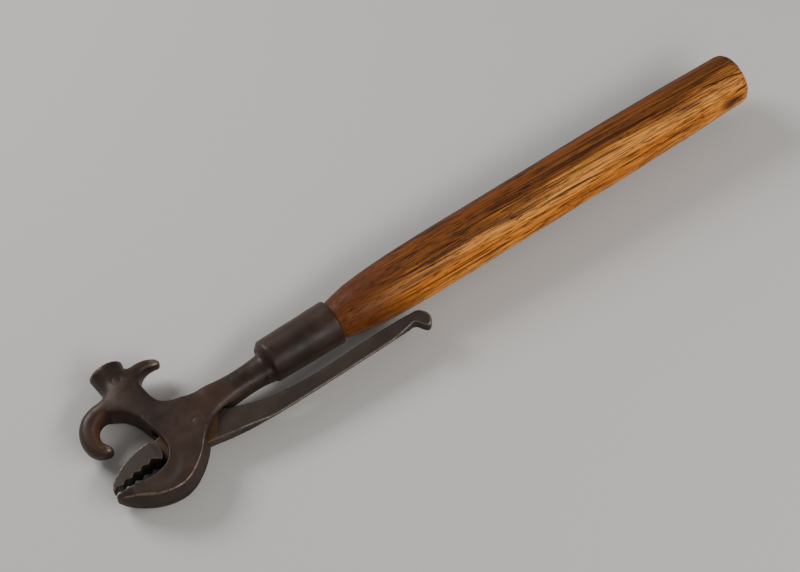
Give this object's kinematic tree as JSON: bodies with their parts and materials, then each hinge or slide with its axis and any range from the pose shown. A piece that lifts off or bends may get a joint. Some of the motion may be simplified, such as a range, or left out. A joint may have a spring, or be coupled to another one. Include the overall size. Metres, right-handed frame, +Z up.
{
  "type": "fencing pliers",
  "caption": "Fence tool with a cast head that carries a hammer poll, a staple claw, a wire hook and a fixed jaw, a riveted lever with a toothed jaw, and a turned wooden handle.",
  "frame": {"origin": "centre of the bounding box in X and Y, at the level of the lowest point", "axes": "+X along the handle towards its butt, +Y the way the hammer face looks, +Z up out of the head's flat side, along the rivet"},
  "size_m": [0.42, 0.083, 0.0331],
  "materials": {
    "head_iron": "dark brown patina with thin rust, worn bright on its edges",
    "lever_iron": "dark grey-brown patina, worn along its lower edge",
    "rivet_steel": "peened and browned like the head",
    "handle_wood": "old oiled varnish over open-grained hardwood",
    "pin_steel": "peened and browned like the socket"
  },
  "bodies": {
    "tool": {"head_casting": "head_iron", "handle": "handle_wood", "pivot_rivet": "rivet_steel", "handle_pin": "pin_steel"},
    "lever": {"jaw_lever": "lever_iron"}
  },
  "joints": [
    {"name": "lever_pivot", "type": "hinge", "parent": "tool", "child": "lever", "pos_m": [-0.1537, -0.01364, 0.01656], "axis": [0, 0, -1], "range_deg": [-1.5, 11]}
  ]
}
